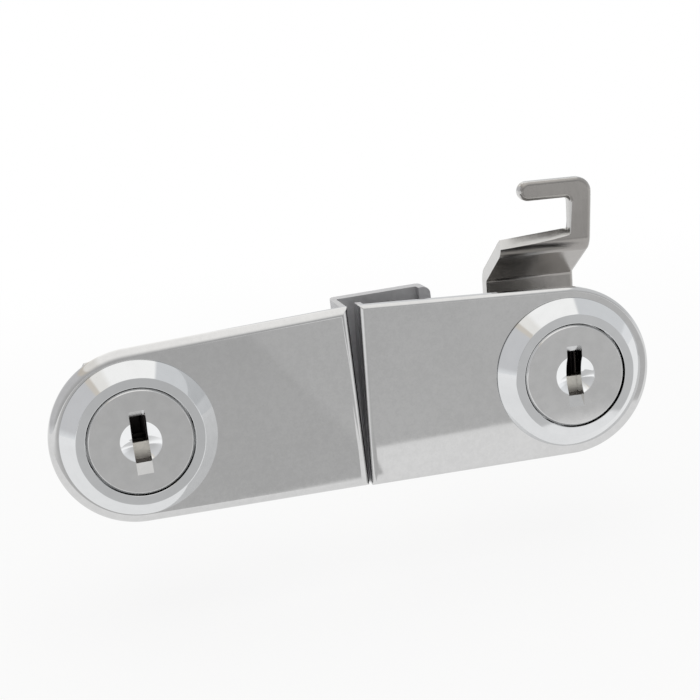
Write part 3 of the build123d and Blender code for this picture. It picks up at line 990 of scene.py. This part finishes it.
class LOCK_OT_hooks(bpy.types.Operator):
    """Draws the hooks flat, folds them, and gives them their thickness"""

    bl_idname = "lock.hooks"
    bl_label = "Hooks"

    def execute(self, context):
        h = context.scene.lock_hooks
        base = h.back - h.sheet / 2
        rise = base - (h.front + h.sheet / 2)
        run = h.jog_end - h.jog_start
        slope = math.hypot(rise, run)
        piece = self.flat(h, base, run, slope)
        bar = h.right - h.bar
        knees = (h.jog_start, h.jog_start + slope)
        edit(piece)
        for knee in knees:
            cut(piece, (0, 0, knee), (0, 0, 1))
        angle = math.atan2(rise, run)
        choose(piece, "VERT", lambda v: v.co.z > knees[0] - same_point)
        self.turn(angle, (0, base, knees[0]))
        top = (0, base - rise, h.jog_end)
        fold = Vector((0, -rise, run)).normalized()
        choose(piece, "VERT", lambda v: (v.co - Vector(top)).dot(fold) > -same_point)
        self.turn(-angle, top)

        folds = ((base, h.jog_start), (base - rise, h.jog_end))

        def knee_edge(edge):
            ends = [v.co for v in edge.verts]
            return any(all(near(p.y, y) and near(p.z, z) for p in ends) for y, z in folds)

        round_off(piece, knee_edge, h.bend * math.tan(angle / 2), 8)
        modify(piece, "SOLIDIFY", thickness=h.sheet, offset=0, use_even_offset=True)
        combine(tidy(piece), self.opening(h, bar, base, run / rise))
        self.round_edges(piece, h)
        hole = context.scene.lock_fasteners.stop_hole / 2
        combine(piece, square("tail hole", hole, h.back - 2 * h.sheet, h.back + MM))
        tidy(soften(tidy(piece), 0.2 * MM, 3, 40))

        # Painted light: the faces that look aside or up, most of them cut edges, get a lighter nickel; the
        # opening's low edge looks only partly up
        climb = h.cut_high + h.cut_climb + MM
        for face in piece.data.polygons:
            side, depth, up = face.normal
            least = 0.25 if face.center.z < climb else 0.8
            face.material_index = int(abs(side) > 0.7 or up > least and depth < 0.1)
        both_sides(piece, "hook", True, "hook_steel", "hook", "hook_cut", left=quarter)
        return {"FINISHED"}

    def turn(self, angle, centre):
        """Folds the selected part about an edge along X, forwards for a positive angle."""
        bpy.ops.transform.rotate(value=-angle, orient_axis="X", center_override=centre)

    def round_edges(self, piece, h):
        """Rolls the edges of the bar and the arm over, where the sheet was pressed."""
        bar = h.right - h.bar
        opening = h.cut_high + h.cut_climb + 0.5 * MM

        def pressed(edge):
            at = middle(edge)
            if len(edge.link_faces) != 2 or not edge.is_convex or at.z < h.shoulder + MM:
                return False
            if edge.calc_face_angle() < math.radians(50):
                return False
            return at.z > opening or at.x > bar + MM or near(at.x, bar) and at.z > h.cut_high

        edit(tidy(piece))
        round_off(piece, pressed, h.edge, 5)
        object_mode()

    def flat(self, h, base, run, slope):
        """The blank as it is before folding: the jog is as long as its slope there."""
        extra = slope - run
        wide_end = h.cut_high + h.cut_climb + extra + MM
        bar = h.right - h.bar
        bottom = h.arm_bottom + extra
        top = h.arm_top + extra
        tip = (top - bottom) / 2
        flared = h.jog_start + (h.cut_low - h.jog_start) * slope / run
        boss_left = math.degrees(math.acos(h.left / h.boss))
        outline = arc((0, 0), h.boss, -boss_left, -35, 40)
        outline += [(h.right, h.shoulder), (h.right, h.jog_start), (h.waist, h.jog_start + slope)]
        outline += arc((h.right - h.corner, top - h.corner), h.corner, 0, 90, 10)
        outline += arc((h.arm_left + tip, bottom + tip), tip, 90, 270, 16)
        outline += arc((bar - h.root, bottom - h.root), h.root, 90, 0, 6)
        outline += [(bar, wide_end), (h.flare, wide_end), (h.flare, flared), (h.left, h.jog_start)]
        piece = filled(drawn("hook", [(x, base, z) for x, z in outline]))
        object_mode()
        return piece

    def opening(self, h, bar, base, rate):
        """What is cut away over the slope, with an edge that climbs from the slope to the bar."""
        plane = h.front + h.sheet / 2
        over = h.sheet / 2 * math.hypot(1, rate)
        ahead, behind = h.front - h.sheet, plane + h.sheet
        rear = h.cut_high + h.cut_climb
        low = [(ahead, h.cut_low), (h.front, h.cut_low)]
        low += [(y, h.jog_end + (plane - y) * rate + over) for y in (h.front + h.cut_lean, behind)]
        high = [(ahead, h.cut_high), (h.front, h.cut_high), (h.front + h.sheet, rear), (behind, rear)]
        roof = [(base, h.arm_bottom - MM), (ahead, h.arm_bottom - MM)]
        tool = filled(drawn("opening", [(h.flare - MM, y, z) for y, z in low + roof]))
        pull(x=bar - h.flare + MM)
        for (y, z), (new_y, new_z) in reversed(list(zip(low, high))):
            here = Vector((bar, y, z))
            choose(tool, "VERT", lambda v: (v.co - here).length < same_point)
            bpy.ops.transform.translate(value=(0, new_y - y, new_z - z))
        object_mode()
        return tidy(tool)


class LOCK_OT_screws(bpy.types.Operator):
    """Makes the stop washers, split washers and hook screws"""

    bl_idname = "lock.screws"
    bl_label = "Hook screws and washers"

    def execute(self, context):
        f = context.scene.lock_fasteners
        self.stop_washer(f)
        self.split_washer(f)
        self.screw(f)
        return {"FINISHED"}

    def stop_washer(self, f):
        c = bpy.context.scene.lock_cylinders
        radius, core_end = stop_high.x, c.core_end
        first, last = 166, 194
        piece = rod("stop washer", radius, core_end, stop_high.y)
        outline = arc((0, 0), radius, first, last, 12) + arc((0, 0), c.lug, last, first, 12)
        points = [(x, stop_low.y, z) for x, z in outline]
        combine(piece, prism("lug", points, y=core_end - stop_low.y + 0.2 * MM), "UNION")
        combine(piece, square("hole", f.stop_hole / 2, core_end - MM, stop_high.y + MM))
        tidy(soften(piece, 0.12 * MM))
        both_sides(piece, "stop_washer", True, "plated_steel", "zinc")

    def split_washer(self, f):
        low, high = spring_low.y, spring_high.y
        inner = f.screw + 0.1 * MM
        piece = turned("split washer", [
            (inner, low), (spring_high.x, low), (spring_high.x, high), (inner, high),
        ])
        half, slant = 0.45 * MM, -20
        gap = block("gap", (0, low - MM, -half), (6 * MM, high + MM, half))
        gap.data.transform(Matrix.Rotation(math.radians(slant), 4, "Z"))
        combine(piece, gap)
        tidy(soften(piece, 0.1 * MM))
        both_sides(piece, "spring_washer", True, "plated_steel", "zinc")

    def screw(self, f):
        seat, top = spring_high.y, screw_high.y
        height = top - seat
        dome = 0.8 * height
        profile = [(0, screw_low.y), (f.screw, screw_low.y), (f.screw, seat), (f.screw_head, seat)]
        crown = arc((f.screw_head - dome, top - dome), dome, 0, 90, 12)
        piece = turned("hook screw", profile + crown + [(0, top)], 96)
        half, reach = f.recess_width / 2, f.recess_length / 2
        for x, z in ((reach, half), (half, reach)):
            combine(piece, block("recess", (-x, top - f.recess_depth, -z), (x, top + MM, z)))
        tidy(soften(piece, 0.08 * MM, 2, 30))
        both_sides(piece, "hook_screw", True, "plated_steel", "zinc")


class LOCK_OT_stage(bpy.types.Operator):
    """Sets the floor, the light and the camera"""

    bl_idname = "lock.stage"
    bl_label = "Stage"

    def execute(self, context):
        s = context.scene.lock_stage
        self.floor(s)
        self.world(context.scene, s)
        self.camera(context.scene, s)
        context.scene.view_settings.view_transform = "Standard"
        return {"FINISHED"}

    def floor(self, s):
        """White paper that turns duller in front, out of the picture."""
        clear()
        bpy.ops.mesh.primitive_grid_add(
            x_subdivisions=8, y_subdivisions=8, size=6, location=(0, 0, s.ground)
        )
        floor = named("floor")
        paper = Surface("white paper")
        fibre = paper.noise(0.8 * MM, 2.0, 0.5)
        shade = paper.mix(fibre, (0.86, 0.86, 0.86), (0.9, 0.9, 0.9))
        x, y, _ = paper.split(paper.place)
        seam_blur, front_blur = 2 * MM, 1.5 * MM
        left_fade, right_fade = 260 * MM, 330 * MM
        beside = x.between(s.seam - seam_blur, s.seam + seam_blur)
        start = s.front_left + (s.front_right - s.front_left) * beside
        front = (start - y).between(-front_blur, front_blur)
        front = front * x.between(s.dull_left - left_fade, s.dull_left)
        front = front * x.between(s.dull_right + right_fade, s.dull_right)
        dull = s.dull + s.dull_step * beside
        level = 1 - front * (1 - dull)
        seen, mirrored = paper.rays()
        level = 1 - mirrored * (1 - level)
        far = paper.add("VectorMath", {"operation": "LENGTH"}, out="Value", i0=paper.place)
        near_glow = 0.82
        share = near_glow + (1 - near_glow) * far.between(80 * MM, 500 * MM)
        sheet = paper.add("BsdfPrincipled", Base_Color=shade, Roughness=0.9)
        glow = paper.add("Emission", Color=(1, 1, 1), Strength=level)
        paper.close(paper.add("MixShader", i0=share * (seen + mirrored), i1=sheet, i2=glow))
        floor.data.materials.append(paper.material)

    def world(self, scene, s):
        """A soft box overhead, plain walls, and a white backdrop."""
        world = bpy.data.worlds.new("studio")
        scene.world = world
        world.use_nodes = True
        sky = Nodes(world.node_tree, "Generated")
        x, y, z = sky.split(sky.place)
        round_about = sky.sum("ARCTAN2", z, x) * (1 / math.pi)
        room = sky.ramp(round_about, (
            (0.0, s.wall), (0.045, s.wall), (0.06, s.right_wall), (0.33, s.right_wall),
            (0.345, s.soft_box), (0.60, s.soft_box), (0.63, s.warm), (0.68, s.warm),
            (0.69, s.beam), (0.71, s.beam), (0.725, s.left_wall), (0.97, s.left_wall), (1.0, s.wall),
        ))
        front = (0 - y).between(0.35, 0.95) * z.between(0.95, 0.0)
        room = sky.mix(front, room, (s.dull, s.dull, s.dull))
        seen, _ = sky.rays()
        sky.close(sky.add("Background", Color=sky.mix(seen, room, (1, 1, 1)), Strength=1.0), "World")

    def camera(self, scene, s):
        data = bpy.data.cameras.new("camera")
        data.sensor_width = 36
        data.lens = s.lens
        data.clip_start, data.clip_end = 0.01, 50
        camera = bpy.data.objects.new("camera", data)
        scene.collection.objects.link(camera)
        back = -Vector(s.look).normalized()
        right = Vector(s.up).cross(back).normalized()
        up = back.cross(right)
        turn = Matrix((right, up, back)).transposed().to_4x4()
        camera.matrix_world = Matrix.Translation(Vector(s.eye)) @ turn
        scene.camera = camera


class LOCK_PT_pieces(bpy.types.Panel):
    """Lists the lock's pieces in the sidebar"""

    bl_label = "Glass door lock"
    bl_space_type = "VIEW_3D"
    bl_region_type = "UI"
    bl_category = "Door lock"

    def draw(self, context):
        column = self.layout.column()
        for step in STEPS:
            column.operator(step.bl_idname)


GROUPS = {
    "lock_plates": PlateSizes,
    "lock_cylinders": CylinderSizes,
    "lock_hooks": HookSizes,
    "lock_fasteners": FastenerSizes,
    "lock_finishes": Finishes,
    "lock_stage": StageSettings,
}
STEPS = (
    LOCK_OT_left_plate, LOCK_OT_right_plate, LOCK_OT_housings, LOCK_OT_plugs, LOCK_OT_wafers,
    LOCK_OT_rings, LOCK_OT_nuts, LOCK_OT_hooks, LOCK_OT_screws, LOCK_OT_stage,
)


def register():
    for kind in (*GROUPS.values(), *STEPS, LOCK_PT_pieces):
        bpy.utils.register_class(kind)
    for name, kind in GROUPS.items():
        setattr(bpy.types.Scene, name, bpy.props.PointerProperty(type=kind))


def unregister():
    for name in GROUPS:
        delattr(bpy.types.Scene, name)
    for kind in (LOCK_PT_pieces, *reversed(STEPS), *reversed(GROUPS.values())):
        bpy.utils.unregister_class(kind)


def main():
    register()
    for step in STEPS:
        group, name = step.bl_idname.split(".")
        getattr(getattr(bpy.ops, group), name)()


if __name__ == "__main__":
    main()
